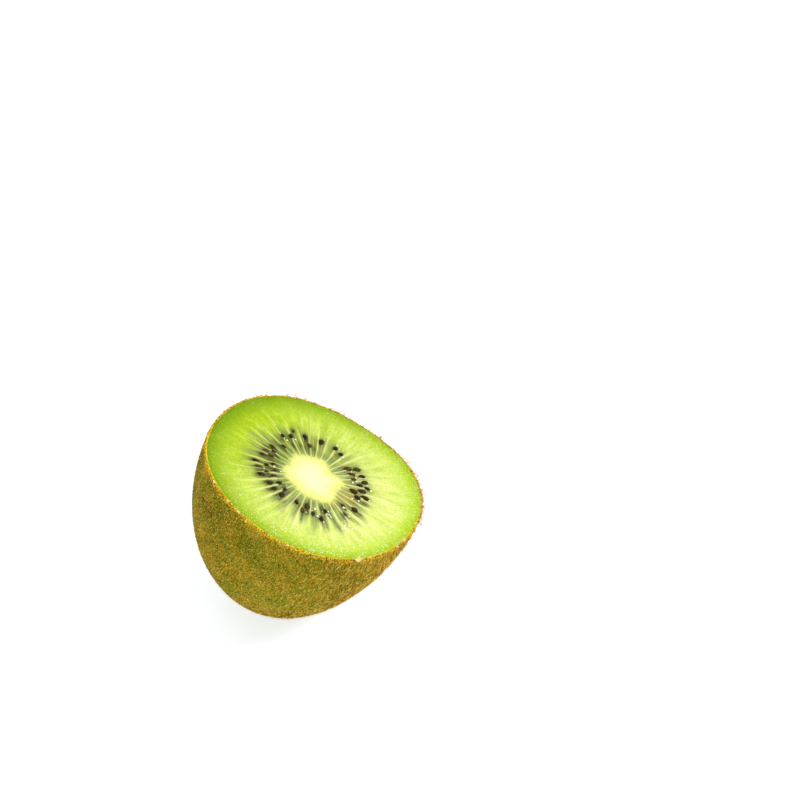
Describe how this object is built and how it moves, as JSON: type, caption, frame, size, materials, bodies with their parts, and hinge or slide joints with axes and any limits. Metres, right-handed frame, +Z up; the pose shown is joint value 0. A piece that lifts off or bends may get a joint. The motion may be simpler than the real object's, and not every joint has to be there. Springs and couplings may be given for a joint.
{
  "type": "kiwi fruit half",
  "caption": "Half of a fuzzy brown-skinned green fruit, cut across its middle, resting on its skin with the wet cut face, pale core, fine rays and ring of small dark seeds leaning to one side.",
  "frame": {"origin": "middle of the small flat spot the fruit rests on", "axes": "+Z up, the cut face leans towards +X, +Y along the level line across the cut face"},
  "size_m": [0.0508, 0.0507, 0.0435],
  "materials": {
    "flesh": "wet, juicy lime-green cut flesh with pale rays, darker green towards the rim",
    "core": "moist, pale cream pith, soft at its edge",
    "seed": "glossy, nearly black brown",
    "skin": "dull olive-brown skin with rusty specks",
    "fuzz": "short golden-brown hairs"
  },
  "bodies": {
    "root": {"flesh": "flesh", "core": "core"}
  },
  "joints": []
}
